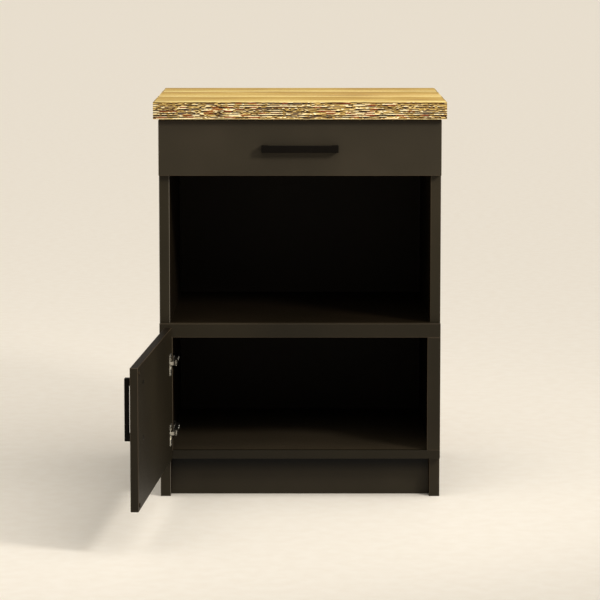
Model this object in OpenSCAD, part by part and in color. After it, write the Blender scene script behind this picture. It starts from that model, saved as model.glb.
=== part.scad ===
// Free-standing kitchen cabinet: worktop, drawer, open niche and a lower compartment with a side-hung door.
// Millimetres. +X is to the right, +Y to the wall, +Z up. The origin is on the floor, on the cabinet's centre
// line, in the middle of the plinth board's lower face. Boards are named by where they sit.

/* [Carcass] */
// Width over the two side panels
cabinet_w = 600; // [460:10:800]
// Room behind the drawer's runners, up to the back edges of the side panels
back_room = 60; // [20:5:100]
// Thickness of the side panels
side_t = 22; // [18:1:28]
// Thickness of the floor panel, the middle shelf and the two stretchers
shelf_t = 18; // [16:1:22]
// Thickness of the divider under the drawer
divider_t = 16; // [16:1:22]
// Thickness of the back panel
back_t = 5; // [3:0.5:8]
// How far the back panel laps onto each side panel
back_lap = 8; // [6:1:12]
// Width of each stretcher under the worktop, front to back
stretcher_d = 100; // [80:5:140]

/* [Heights] */
// Height of the plinth board, up to the underside of the floor panel
plinth_h = 85; // [60:1:120]
// Clear height of the lower compartment
lower_h = 244; // [230:1:320]
// Clear height of the open niche
niche_h = 320; // [280:5:420]
// Height from the divider to the underside of the worktop
drawer_space_h = 101; // [100:1:160]

/* [Plinth] */
// Thickness of the plinth board
plinth_t = 16; // [12:1:19]
// How far the plinth stands behind the face of the frame
plinth_setback = 48; // [30:1:80]

/* [Face frame] */
// Thickness of the frame's rails and stiles
frame_t = 18; // [16:1:22]
// Width of the two stiles
stile_w = 28; // [26:1:34]
// Height of the frame's top rail
top_rail_h = 30; // [24:1:50]

/* [Worktop] */
// Thickness of the worktop
worktop_t = 36; // [28:1:50]
// Overhang at each side
worktop_side_over = 10; // [3:1:30]
// Overhang in front of the frame
worktop_front_over = 20; // [5:1:40]
// Overhang behind the side panels
worktop_back_over = 2; // [0:1:20]
// Thickness of the edge strips glued to the front and the two ends
edge_t = 2; // [1:0.5:4]

/* [Drawer] */
// Thickness of the drawer front
front_t = 18; // [16:1:22]
// Gap between the drawer front and the worktop
drawer_top_gap = 3; // [2:0.5:6]
// How far the drawer front laps over the divider's edge
drawer_lap = 4; // [0:1:10]
// Gap between the back of the drawer front and the carcass
drawer_gap = 0.5; // [0.5:0.1:2]
// Thickness of the drawer box's walls
drawer_wall_t = 12; // [10:1:15]
// Height of the drawer box
drawer_box_h = 70; // [60:1:76]
// Gap between the divider and the drawer box
drawer_floor_gap = 6; // [4:0.5:8]
// Thickness of the drawer's bottom
drawer_bottom_t = 4; // [3:0.5:6]
// How far the bottom enters its grooves
groove_d = 6; // [4:0.5:7]
// Height of the bottom's groove above the lower edge of the box
groove_z = 8; // [6:1:12]

/* [Runners] */
// Length of the ball runners and of the drawer box, which sets the depth of the cabinet
runner_l = 500; // [450:10:520]
// Thickness of a runner, which is the gap between the side panel and the drawer box
runner_t = 12.7; // [12.5:0.1:13.5]
// Height of the member that is screwed to the cabinet
runner_h = 45; // [43:0.5:46]
// Thickness of the steel of all three members
runner_steel = 1.2; // [1:0.1:1.3]
// Diameter of the balls
ball_d = 3.7; // [3.2:0.1:3.7]
// Length of each ball cage
cage_l = 240; // [180:10:250]
// Number of balls in one row of a cage
cage_balls = 6; // [3:1:10]

/* [Door] */
// Thickness of the door
door_t = 16; // [16:1:19]
// Gap between the closed door and the face of the frame
door_gap = 2; // [2:0.1:3]
// Margin between the door's edges and the sides of the cabinet
door_side_margin = 1.5; // [1:0.5:4]
// Margin between the door and the lower edge of the frame
door_low_margin = 1; // [0:0.5:6]
// Margin between the door and the upper edge of the frame
door_top_margin = 8; // [2:0.5:14]
// Angle by which the door stands open here
door_open = 93.8; // [0:0.1:98]

/* [Hinges] */
// Height of the lower hinge above the door's lower edge
hinge_low_z = 57; // [40:1:70]
// Distance between the two hinges
hinge_pitch = 151; // [100:1:160]
// Distance from the door's edge to the centre of the hinge cup
cup_edge = 22.5; // [22:0.5:24]
// Diameter of the hinge cup
cup_d = 35; // [35:0.5:36]
// Depth of the hinge cup
cup_depth = 12; // [11.5:0.1:12.5]
// Thickness of the sheet that the cup and its flange are made of
cup_wall = 1; // [0.8:0.1:1.2]
// Height of the cup's flange
flange_h = 46; // [46:1:52]
// Width of the cup's flange
flange_w = 26; // [24:1:30]
// Distance from the door's edge to the cup's pin
cup_pin_edge = 12.8; // [12.5:0.1:13]
// Depth of the cup's pin behind the door's inner face
cup_pin_depth = 4; // [3.8:0.1:4.2]
// Distance from the stile's inner edge to the arm's pin
arm_pin_side = 6; // [5.5:0.1:6.5]
// Distance from the face of the frame to the arm's pin
arm_pin_front = 7; // [6.5:0.1:7.5]
// Diameter of the hinge pins
pin_d = 2.4; // [2:0.1:2.8]
// Degrees that a link turns for each degree that the door turns
link_share = 0.573; // [0.54:0.001:0.6]
// Length of the hinge's mounting plate
plate_l = 62; // [56:1:80]
// Height of the hinge's mounting plate
plate_h = 16; // [14:1:20]

/* [Handles] */
// Length of the drawer's handle
drawer_handle_l = 163; // [100:1:300]
// Length of the door's handle
door_handle_l = 125; // [80:1:180]
// Height of a handle's bar
handle_h = 15; // [12:1:20]
// Thickness of a handle's bar
handle_t = 8.5; // [6:0.5:12]
// Distance from the door or drawer to the front of the bar
handle_reach = 20; // [16:1:35]
// Length of the foot at each end of a handle
handle_foot = 15; // [12:1:20]
// How far the drawer's handle sits below the middle of the drawer front
handle_drop = 1.5; // [0:0.5:15]
// Distance from the door's free edge to the middle of its handle
handle_edge = 80; // [40:1:90]
// Distance from the door's upper edge to the end of its handle
handle_top = 31; // [15:1:60]

/* [Fixings] */
// Diameter of the wooden dowels
dowel_d = 8; // [6:0.5:8]
// Length of a dowel
dowel_l = 30; // [28:1:32]
// How deep a dowel enters the panel that is drilled in its face
dowel_face = 12; // [10:0.5:13]
// Diameter of a cam lock
cam_d = 15; // [14:0.5:15]
// Height of a cam lock
cam_h = 12.4; // [11.5:0.1:12.5]
// Distance from the panel's end to the middle of its cam lock
cam_reach = 24; // [22:0.5:34]
// Distance from the panel's edges to its first fixing
fixing_inset = 34; // [30:1:40]
// Distance between a cam lock and the dowel beside it
fixing_step = 32; // [28:1:34]
// Space left round a fixing in its hole
fixing_play = 0.1; // [0.05:0.01:0.15]

/* [Hidden] */

$fn = 32;
eps = 1;                      // how far a cut runs past the face it opens

laminate = "#39322b";
frame_dark = "#302923";
inner_dark = "#262019";
oak = "#cfa964";
beech = "#d8b98a";
steel = "#c4c4c0";
black_metal = "#15120e";
zinc = "#b9b9b4";
brown_felt = "#2b231b";

// Levels, from the floor up
floor_top = plinth_h + shelf_t;
rail_under = floor_top + lower_h;
shelf_top = rail_under + top_rail_h;
niche_top = shelf_top + niche_h;
divider_top = niche_top + divider_t;
carcass_top = divider_top + drawer_space_h;
total_h = carcass_top + worktop_t;

// Planes, from the front to the back
plinth_front_y = -plinth_t / 2;
frame_face_y = plinth_front_y - plinth_setback;
carcass_front_y = frame_face_y + frame_t;
carcass_back_y = carcass_front_y + runner_l + back_room;
panel_back_y = carcass_back_y - back_t;
worktop_front_y = frame_face_y - worktop_front_over;
worktop_back_y = carcass_back_y + worktop_back_over;

// Planes, from side to side
half_w = cabinet_w / 2;
inner_x = half_w - side_t;
stile_x = half_w - stile_w;
back_x = inner_x + back_lap;
side_mid_x = half_w - side_t / 2;
quarter_x = half_w / 2;

// Each cross panel as [underside, thickness, front, back]
CROSS = [[plinth_h, shelf_t, carcass_front_y, panel_back_y],
    [shelf_top - shelf_t, shelf_t, carcass_front_y, panel_back_y],
    [niche_top, divider_t, carcass_front_y, panel_back_y],
    [carcass_top - shelf_t, shelf_t, carcass_front_y, carcass_front_y + stretcher_d],
    [carcass_top - shelf_t, shelf_t, panel_back_y - stretcher_d, panel_back_y]];
narrow = 200;                 // a panel less deep than this has one cam lock and one dowel at each end
function cam_ys(p) = p[3] - p[2] < narrow ? [p[2] + fixing_inset]
    : [p[2] + fixing_inset, p[3] - fixing_inset];
function dowel_ys(p) = p[3] - p[2] < narrow ? [p[2] + fixing_inset + fixing_step]
    : [p[2] + fixing_inset + fixing_step, p[3] - fixing_inset - fixing_step];
function mid_z(p) = p[0] + p[1] / 2;

bolt_face = 11;               // how deep a cam bolt is screwed into the side panel
bolt_thread_d = 6;
bolt_shank_d = 5;
bolt_bore_d = 8;
bolt_head_d = 7;
bolt_head_l = 3;

// Dowels of the face frame and the plinth
dowel_end = dowel_l - dowel_face;   // how deep a dowel enters a board's end or edge
stile_dowel_z = 60;           // distance of a stile's dowels from its ends
rail_dowel_z = 14;            // height of the top rail's outer dowels above its lower edge
plinth_dowel_z = 24;          // distance of the plinth's dowels from its edges

// Screws: [diameter, length, head diameter, head height]; the length of the last two is their thread's alone
WORKTOP_SCREW = [4, 30, 8, 2.5];
BOX_SCREW = [3.5, 35, 7, 2.5];
FRONT_SCREW = [4, 25, 8, 2.2];
RUNNER_SCREW = [3.5, 12, 6, 1.2];
DRAWER_RUNNER_SCREW = [3.5, 9, 6, 1.2];
CUP_SCREW = [3.5, 13, 5.8, 1];
PLATE_SCREW = [3.5, 22, 7, 2];
NAIL = [1.6, 20, 3.6, 0.8];
HANDLE_SCREW = [4, 9, 8, 2];
ARM_SCREW = [3.4, 6, 6.5, 1.6];
screw_inset = 60;             // distance of the outermost screws from the ends of what they hold
nail_inset = 40;              // distance of the outermost nails from the ends of the back panel
side_nails = 6;               // nails along each side of the back panel

// Drawer box and drawer front
box_half_w = inner_x - runner_t;
drawer_back_y = carcass_front_y - drawer_gap;
drawer_face_y = drawer_back_y - front_t;
box_front_y = drawer_back_y;
box_back_y = box_front_y + runner_l;
box_z = divider_top + drawer_floor_gap;
drawer_front_z = niche_top - drawer_lap;
drawer_front_top = carcass_top - drawer_top_gap;
drawer_handle_z = (drawer_front_z + drawer_front_top) / 2 - handle_drop;
box_screw_z = 6;              // distance of the box's corner screws from its bottom and its upper edge
FRONT_SCREW_Z = [box_z + 2 * groove_z + drawer_bottom_t, box_z + drawer_box_h - groove_z];

// Runner sections: s runs from the side panel to the drawer box, and the heights are from the middle
runner_z = box_z + drawer_box_h / 2;
runner_play = 0.3;            // gap on each side of a ball
race = ball_d + 2 * runner_play;
outer_race_z = runner_h / 2 - runner_steel;
middle_half_h = outer_race_z - race;
inner_race_z = middle_half_h - runner_steel;
drawer_half_h = inner_race_z - race;
middle_s0 = 3.2;
middle_s1 = 10.4;
outer_flange_s = 9;
drawer_flange_s = 5.2;
outer_ball_s = (middle_s0 + outer_flange_s) / 2;
inner_ball_s = (drawer_flange_s + middle_s1) / 2;
cage_t = 0.8;
cage_w = 4.6;
cage_start = (runner_l - cage_l) / 2;
ball_fit = 0.04;

// Door, modelled closed and then swung open
door_x0 = -half_w + door_side_margin;
door_x1 = half_w - door_side_margin;
door_z0 = plinth_h + door_low_margin;
door_z1 = shelf_top - door_top_margin;
door_in_y = frame_face_y - door_gap;
door_out_y = door_in_y - door_t;
door_handle_x = door_x1 - handle_edge;
door_handle_z = door_z1 - handle_top - door_handle_l / 2;
pad_d = 9;
pad_clear = 0.3;              // gap between a pad and the frame when the door is closed
pad_inset = 12;

// Hinges
HINGE_Z = [door_z0 + hinge_low_z, door_z0 + hinge_low_z + hinge_pitch];
cup_x = door_x0 + cup_edge;
cup_r = cup_d / 2;
flange_t = 1.2;
flange_shift = 3;             // the flange's middle lies this far past the cup's middle
cup_screw_x = 9.5;
cup_screw_z = 19.5;
cup_screw_sink = 0.5;         // how deep a cup screw's head is let into the flange
cup_notch_h = 11;             // the opening in the cup's wall that lets the link out
cup_notch_d = 3.5;
ear_t = 1.2;
ear_l = 8;
ear_past = 2.6;               // how far the ears reach past the cup's pin
link_h = 7.4;
link_gap = 0.4;               // space between a link and the ears beside it
link_eye_r = 2.6;
link_t = 2.6;
link_crank = 3.5;             // how far the link bows out, so that it clears the cup's rim
link_steps = 10;
pin_play = 0.05;
arm_w = 7;
arm_h = 12;
arm_fork = 5;                 // how deep the fork reaches behind the arm's pin
arm_tail = 12;                // the arm ends this far before the plate does
plate_front = 24;             // distance from the carcass's front edge to the plate
plate_screw_in = 10;
arm_screw_in = 20;

arm_pin = [-stile_x + arm_pin_side, frame_face_y - arm_pin_front];
cup_pin_closed = [door_x0 + cup_pin_edge, door_in_y - cup_pin_depth];
link_vector = cup_pin_closed - arm_pin;
link_l = norm(link_vector);
link_turn = link_share * door_open;
link_angle = atan2(link_vector[1], link_vector[0]) + link_turn;
cup_pin = arm_pin + link_l * [cos(link_angle), sin(link_angle)];
plate_y0 = carcass_front_y + plate_front;
arm_back_y = plate_y0 + plate_l - arm_tail;
arm_x0 = arm_pin[0] - arm_w / 2;
arm_x1 = arm_pin[0] + arm_w / 2;

// ---------------------------------------------------------------- helpers

// A box given by two opposite corners
module box(lo, hi) {
    translate(lo) cube(hi - lo);
}

// A rod along X, Y or Z that starts at a point
module rod_x(at, length, d) {
    translate(at) rotate([0, 90, 0]) cylinder(d = d, h = length);
}
module rod_y(at, length, d) {
    translate(at) rotate([-90, 0, 0]) cylinder(d = d, h = length);
}

// A screw whose head's underside is at the origin and whose shank points up
module screw(size, length, play = 0) {
    cylinder(d = size[0] + 2 * play, h = length + play);
    translate([0, 0, -size[3] - play]) cylinder(d = size[2] + 2 * play, h = size[3] + play);
}

// Both sides of the cabinet: side is -1 on the left and 1 on the right
module both_sides() {
    for (side = [-1, 1]) scale_x(side) children();
}
module scale_x(side) {
    if (side > 0) children();
    else mirror([1, 0, 0]) children();
}

// Closed door to the angle at which it stands
module swing_door() {
    translate([cup_pin[0], cup_pin[1], 0]) rotate([0, 0, -door_open])
        translate([-cup_pin_closed[0], -cup_pin_closed[1], 0]) children();
}
module swing_link() {
    translate([arm_pin[0], arm_pin[1], 0]) rotate([0, 0, link_turn])
        translate([-arm_pin[0], -arm_pin[1], 0]) children();
}
module at_hinges() {
    for (z = HINGE_Z) translate([0, 0, z]) children();
}

// ---------------------------------------------------------------- fixings of the carcass

// The fixings of one cross panel's right-hand end; play makes them the cutter of their own holes
module end_dowels(p, play = 0) {
    for (y = dowel_ys(p))
        rod_x([inner_x - dowel_end - play, y, mid_z(p)], dowel_l + 2 * play, dowel_d + 2 * play);
}
module end_bolts(p, play = 0) {
    for (y = cam_ys(p)) {
        rod_x([inner_x, y, mid_z(p)], bolt_face + play, bolt_thread_d + 2 * play);
        rod_x([inner_x - cam_reach, y, mid_z(p)], cam_reach, bolt_shank_d);
        rod_x([inner_x - cam_reach, y, mid_z(p)], bolt_head_l, bolt_head_d);
    }
}
module end_locks(p, play = 0, below = 0) {
    for (y = cam_ys(p)) translate([inner_x - cam_reach, y, p[0] - below])
        cylinder(d = cam_d + 2 * play, h = cam_h + play + below);
}

// The bores that the bolts run in, inside the panel's end
module end_bolt_bores(p) {
    for (y = cam_ys(p)) rod_x([inner_x - cam_reach, y, mid_z(p)], cam_reach + eps, bolt_bore_d);
}

// The right-hand dowels between the face frame, or the plinth, and the carcass
module frame_dowels(play = 0) {
    points = concat(
        [for (z = [floor_top + stile_dowel_z, rail_under - stile_dowel_z, rail_under + rail_dowel_z])
            [side_mid_x, z]],
        [for (p = [CROSS[0], CROSS[1]]) [quarter_x, mid_z(p)]]);
    for (at = points)
        rod_y([at[0], carcass_front_y - dowel_face - play, at[1]], dowel_l + 2 * play, dowel_d + 2 * play);
}
module plinth_dowels(play = 0) {
    for (z = [plinth_dowel_z, plinth_h - plinth_dowel_z])
        rod_x([inner_x - dowel_end - play, 0, z], dowel_l + 2 * play, dowel_d + 2 * play);
}

// A cross panel between the side panels, drilled for its fixings
module cross_panel(p) {
    difference() {
        box([-inner_x, p[2], p[0]], [inner_x, p[3], p[0] + p[1]]);
        both_sides() {
            end_dowels(p, fixing_play);
            end_bolt_bores(p);
            end_locks(p, fixing_play, eps);
        }
        children();
    }
}

module worktop_screws(play = 0) {
    color(zinc)
        for (p = [CROSS[3], CROSS[4]], x = [-quarter_x, quarter_x])
            translate([x, (p[2] + p[3]) / 2, p[0]]) screw(WORKTOP_SCREW, WORKTOP_SCREW[1], play);
}

// Nails through the back panel, into the side panels and into the edges of the floor, shelf and divider
module back_panel_nails(play = 0) {
    low = plinth_h + nail_inset;
    step = (carcass_top - nail_inset - low) / (side_nails - 1);
    side_points = [for (i = [0:side_nails - 1], side = [-1, 1])
        [side * (back_x - back_lap / 2), low + i * step]];
    shelf_points = [for (p = [CROSS[0], CROSS[1], CROSS[2]], side = [-1, 1]) [side * quarter_x, mid_z(p)]];
    color(zinc)
        for (at = concat(side_points, shelf_points))
            translate([at[0], carcass_back_y, at[1]]) rotate([90, 0, 0]) screw(NAIL, NAIL[1], play);
}

module wood_dowels() {
    color(beech) both_sides() {
        for (p = CROSS) end_dowels(p);
        frame_dowels();
        plinth_dowels();
    }
}
module cam_bolts() {
    color(zinc) both_sides() for (p = CROSS) end_bolts(p);
}
module cam_locks() {
    color(zinc) both_sides() for (p = CROSS) difference() {
        end_locks(p);
        for (y = cam_ys(p)) rod_x([inner_x - cam_reach - bolt_bore_d / 2, y, mid_z(p)], cam_d, bolt_bore_d);
    }
}

// ---------------------------------------------------------------- worktop

module worktop() {
    x = half_w + worktop_side_over - edge_t;
    color(oak) difference() {
        box([-x, worktop_front_y + edge_t, carcass_top], [x, worktop_back_y, total_h]);
        worktop_screws(fixing_play);
    }
}
module worktop_front_edge() {
    x = half_w + worktop_side_over;
    color(oak) box([-x, worktop_front_y, carcass_top], [x, worktop_front_y + edge_t, total_h]);
}
module worktop_end_edges() {
    x = half_w + worktop_side_over;
    color(oak) both_sides()
        box([x - edge_t, worktop_front_y + edge_t, carcass_top], [x, worktop_back_y, total_h]);
}

// ---------------------------------------------------------------- carcass

// The right-hand side panel; the left one is its mirror image
module side_panel() {
    color(laminate) difference() {
        box([inner_x, carcass_front_y, 0], [half_w, carcass_back_y, carcass_top]);
        box([inner_x - eps, panel_back_y, plinth_h], [back_x, carcass_back_y + eps, carcass_top + eps]);
        for (p = CROSS) {
            end_dowels(p, fixing_play);
            for (y = cam_ys(p)) rod_x([inner_x - eps, y, mid_z(p)], bolt_face + eps + fixing_play,
                bolt_thread_d + 2 * fixing_play);
        }
        frame_dowels(fixing_play);
        plinth_dowels(fixing_play);
        back_panel_nails(fixing_play);
        runner_screws_right(fixing_play);
        children();
    }
}
module side_panel_right() {
    side_panel();
}
module side_panel_left() {
    mirror([1, 0, 0]) side_panel() mirror([1, 0, 0]) hinge_plate_screws(fixing_play);
}

module floor_panel() {
    color(laminate) cross_panel(CROSS[0]) {
        both_sides() frame_dowels(fixing_play);
        back_panel_nails(fixing_play);
    }
}
module middle_shelf() {
    color(laminate) cross_panel(CROSS[1]) {
        both_sides() frame_dowels(fixing_play);
        back_panel_nails(fixing_play);
    }
}
module drawer_divider() {
    color(inner_dark) cross_panel(CROSS[2]) back_panel_nails(fixing_play);
}
module front_stretcher() {
    color(inner_dark) cross_panel(CROSS[3]) worktop_screws(fixing_play);
}
module back_stretcher() {
    color(inner_dark) cross_panel(CROSS[4]) worktop_screws(fixing_play);
}
module back_panel() {
    color(inner_dark) difference() {
        box([-back_x, panel_back_y, plinth_h], [back_x, carcass_back_y, carcass_top]);
        back_panel_nails(fixing_play);
    }
}
module plinth_board() {
    color(frame_dark) difference() {
        box([-inner_x, plinth_front_y, 0], [inner_x, plinth_front_y + plinth_t, plinth_h]);
        both_sides() plinth_dowels(fixing_play);
    }
}

// ---------------------------------------------------------------- face frame

module frame_part(lo, hi) {
    color(frame_dark) difference() {
        box([lo[0], frame_face_y, lo[1]], [hi[0], carcass_front_y, hi[1]]);
        both_sides() frame_dowels(fixing_play);
    }
}
module frame_top_rail() {
    frame_part([-half_w, rail_under], [half_w, shelf_top]);
}
module frame_bottom_rail() {
    frame_part([-half_w, plinth_h], [half_w, floor_top]);
}
module frame_stile_left() {
    frame_part([-half_w, floor_top], [-stile_x, rail_under]);
}
module frame_stile_right() {
    frame_part([stile_x, floor_top], [half_w, rail_under]);
}

// ---------------------------------------------------------------- drawer

// The bottom's edges, let into the grooves of the four walls
module bottom_slab(play = 0) {
    x = box_half_w - drawer_wall_t + groove_d + play;
    y0 = box_front_y + drawer_wall_t - groove_d - play;
    y1 = box_back_y - drawer_wall_t + groove_d + play;
    box([-x, y0, box_z + groove_z - play], [x, y1, box_z + groove_z + drawer_bottom_t + play]);
}
module drawer_bottom() {
    color(beech) bottom_slab();
}

// Two screws through the side wall into the end of each cross wall
module box_screws_right(play = 0) {
    for (y = [box_front_y + drawer_wall_t / 2, box_back_y - drawer_wall_t / 2],
            z = [box_z + groove_z + drawer_bottom_t + box_screw_z, box_z + drawer_box_h - box_screw_z])
        translate([box_half_w - BOX_SCREW[3], y, z]) rotate([0, -90, 0]) screw(BOX_SCREW, BOX_SCREW[1], play);
}
module drawer_box_screws() {
    color(zinc) both_sides() box_screws_right();
}
module drawer_front_screws(play = 0) {
    color(zinc)
        for (x = [-quarter_x, quarter_x], z = FRONT_SCREW_Z)
            translate([x, box_front_y + drawer_wall_t, z]) rotate([90, 0, 0])
                screw(FRONT_SCREW, FRONT_SCREW[1], play);
}
module drawer_side() {
    color(inner_dark) difference() {
        box([box_half_w - drawer_wall_t, box_front_y, box_z], [box_half_w, box_back_y, box_z + drawer_box_h]);
        bottom_slab(fixing_play);
        box_screws_right(fixing_play);
        runner_drawer_screws_right(fixing_play);
    }
}
module drawer_side_right() {
    drawer_side();
}
module drawer_side_left() {
    mirror([1, 0, 0]) drawer_side();
}
module box_cross_wall(y) {
    x = box_half_w - drawer_wall_t;
    color(inner_dark) difference() {
        box([-x, y, box_z], [x, y + drawer_wall_t, box_z + drawer_box_h]);
        bottom_slab(fixing_play);
        both_sides() box_screws_right(fixing_play);
        children();
    }
}
module drawer_inner_front() {
    box_cross_wall(box_front_y) {
        drawer_front_screws(fixing_play);
        drawer_handle_screws(fixing_play);
    }
}
module drawer_back() {
    box_cross_wall(box_back_y - drawer_wall_t);
}
module drawer_front() {
    color(laminate) difference() {
        box([-half_w, drawer_face_y, drawer_front_z], [half_w, drawer_back_y, drawer_front_top]);
        drawer_front_screws(fixing_play);
        drawer_handle_screws(fixing_play);
    }
}

// ---------------------------------------------------------------- handles

// A bar handle on the plane y = 0, with its length along X and its front at y = -handle_reach
module bar_handle(length) {
    half_l = length / 2;
    half_h = handle_h / 2;
    color(black_metal) difference() {
        box([-half_l, -handle_reach, -half_h], [half_l, 0, half_h]);
        box([-half_l + handle_foot, -handle_reach + handle_t, -half_h - eps],
            [half_l - handle_foot, eps, half_h + eps]);
        handle_screws(length, 0, fixing_play);
    }
}

// Its two screws, which come from behind through a board of the given thickness
module handle_screws(length, through, play = 0) {
    for (side = [-1, 1])
        translate([side * (length - handle_foot) / 2, through, 0]) rotate([90, 0, 0])
            screw(HANDLE_SCREW, through + HANDLE_SCREW[1], play);
}
module drawer_handle() {
    translate([0, drawer_face_y, drawer_handle_z]) bar_handle(drawer_handle_l);
}
module drawer_handle_screws(play = 0) {
    color(black_metal) translate([0, drawer_face_y, drawer_handle_z])
        handle_screws(drawer_handle_l, front_t + drawer_wall_t, play);
}
module door_handle_place() {
    translate([door_handle_x, door_out_y, door_handle_z]) rotate([0, 90, 0]) children();
}
module door_handle() {
    swing_door() door_handle_place() bar_handle(door_handle_l);
}
module door_handle_screws_closed(play = 0) {
    door_handle_place() handle_screws(door_handle_l, door_t, play);
}
module door_handle_screws() {
    color(black_metal) swing_door() door_handle_screws_closed();
}

// ---------------------------------------------------------------- runners, right-hand side

// A length of channel: its web lies at s0, its flanges reach s1, and its outer half height is given
module channel(web_s, flange_s, half_h) {
    s0 = min(web_s, flange_s);
    s1 = max(web_s, flange_s);
    inside = flange_s > web_s ? [web_s + runner_steel, flange_s + eps]
        : [flange_s - eps, web_s - runner_steel];
    translate([inner_x, box_front_y, runner_z]) difference() {
        box([-s1, 0, -half_h], [-s0, runner_l, half_h]);
        box([-inside[1], -eps, -half_h + runner_steel], [-inside[0], runner_l + eps, half_h - runner_steel]);
    }
}
module runner_cabinet_part() {
    color(steel) difference() {
        channel(0, outer_flange_s, runner_h / 2);
        runner_screws_right(fixing_play);
    }
}
module runner_middle_part() {
    color(steel) channel(middle_s0, middle_s1, middle_half_h);
}
module runner_drawer_part() {
    color(steel) difference() {
        channel(runner_t, drawer_flange_s, drawer_half_h);
        runner_drawer_screws_right(fixing_play);
    }
}

// Rows of balls in their cage strips, above and below the middle member
module ball_rows(ball_s, ball_z) {
    step = cage_l / cage_balls;
    for (side = [-1, 1]) translate([inner_x - ball_s, box_front_y + cage_start, runner_z + side * ball_z]) {
        difference() {
            box([-cage_w / 2, 0, -cage_t / 2], [cage_w / 2, cage_l, cage_t / 2]);
            for (i = [0:cage_balls - 1]) translate([0, (i + 0.5) * step, -eps])
                cylinder(d = ball_d + 2 * ball_fit, h = 2 * eps);
        }
        for (i = [0:cage_balls - 1]) translate([0, (i + 0.5) * step, 0]) sphere(d = ball_d);
    }
}
module runner_cabinet_right() {
    runner_cabinet_part();
}
module runner_cabinet_left() {
    mirror([1, 0, 0]) runner_cabinet_part();
}
module runner_middle_right() {
    runner_middle_part();
}
module runner_middle_left() {
    mirror([1, 0, 0]) runner_middle_part();
}
module runner_drawer_right() {
    runner_drawer_part();
}
module runner_drawer_left() {
    mirror([1, 0, 0]) runner_drawer_part();
}
module runner_outer_balls() {
    color(steel) both_sides() ball_rows(outer_ball_s, (outer_race_z + middle_half_h) / 2);
}
module runner_inner_balls() {
    color(steel) both_sides() ball_rows(inner_ball_s, (inner_race_z + drawer_half_h) / 2);
}

// Three screws hold each outer member
function runner_ys() = [box_front_y + screw_inset, box_front_y + runner_l / 2,
    box_front_y + runner_l - screw_inset];
module runner_screws_right(play = 0) {
    for (y = runner_ys()) translate([inner_x - runner_steel, y, runner_z]) rotate([0, 90, 0])
        screw(RUNNER_SCREW, RUNNER_SCREW[1], play);
}
module runner_drawer_screws_right(play = 0) {
    for (y = runner_ys()) translate([box_half_w + runner_steel, y, runner_z]) rotate([0, -90, 0])
        screw(DRAWER_RUNNER_SCREW, DRAWER_RUNNER_SCREW[1], play);
}
module runner_cabinet_screws() {
    color(zinc) both_sides() runner_screws_right();
}
module runner_drawer_screws() {
    color(zinc) both_sides() runner_drawer_screws_right();
}

// ---------------------------------------------------------------- door

module door_panel() {
    color(frame_dark) swing_door() difference() {
        box([door_x0, door_out_y, door_z0], [door_x1, door_in_y, door_z1]);
        at_hinges() {
            rod_y([cup_x, door_in_y - cup_depth - fixing_play, 0], cup_depth + fixing_play + eps,
                cup_d + 2 * fixing_play);
            cup_screws(fixing_play);
        }
        door_handle_screws_closed(fixing_play);
    }
}
module door_pads() {
    color(brown_felt) swing_door() for (z = [door_z0 + pad_inset, door_z1 - pad_inset])
        rod_y([(stile_x + door_x1) / 2, door_in_y, z], door_gap - pad_clear, pad_d);
}

// ---------------------------------------------------------------- hinges, door side, drawn closed

module cup_shell() {
    difference() {
        union() {
            rod_y([cup_x, door_in_y - cup_depth, 0], cup_depth, cup_d);
            box([cup_x + flange_shift - flange_w / 2, door_in_y, -flange_h / 2],
                [cup_x + flange_shift + flange_w / 2, door_in_y + flange_t, flange_h / 2]);
        }
        rod_y([cup_x, door_in_y - cup_depth + cup_wall, 0], cup_depth + flange_t, cup_d - 2 * cup_wall);
        box([cup_x - cup_r - eps, door_in_y - cup_notch_d, -cup_notch_h / 2],
            [cup_x - cup_r + flange_shift + eps, door_in_y + flange_t + eps, cup_notch_h / 2]);
        cup_screws(fixing_play);
    }
}

// Two ears on the cup's floor that hold its pin
module cup_ears() {
    ear_z = link_h / 2 + link_gap;
    difference() {
        for (side = [-1, 1]) scale([1, 1, side])
            box([cup_pin_closed[0] - ear_l / 2, door_in_y - cup_depth + cup_wall, ear_z],
                [cup_pin_closed[0] + ear_l / 2, cup_pin_closed[1] + ear_past, ear_z + ear_t]);
        translate([cup_pin_closed[0], cup_pin_closed[1], -cup_r]) cylinder(d = pin_d, h = cup_d);
    }
}
module cup_screws(play = 0) {
    for (side = [-1, 1])
        translate([cup_x + cup_screw_x, door_in_y + flange_t - cup_screw_sink, side * cup_screw_z])
            rotate([90, 0, 0]) screw(CUP_SCREW, CUP_SCREW[1], play);
}
module hinge_cups() {
    color(steel) swing_door() at_hinges() {
        cup_shell();
        cup_ears();
    }
}
module hinge_cup_screws() {
    color(zinc) swing_door() at_hinges() cup_screws();
}
module hinge_pin(at, half_h) {
    translate([at[0], at[1], -half_h]) cylinder(d = pin_d, h = 2 * half_h);
}
module hinge_cup_pins() {
    color(zinc) swing_door() at_hinges() hinge_pin(cup_pin_closed, link_h / 2 + link_gap + ear_t);
}

// ---------------------------------------------------------------- hinges, links

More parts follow.
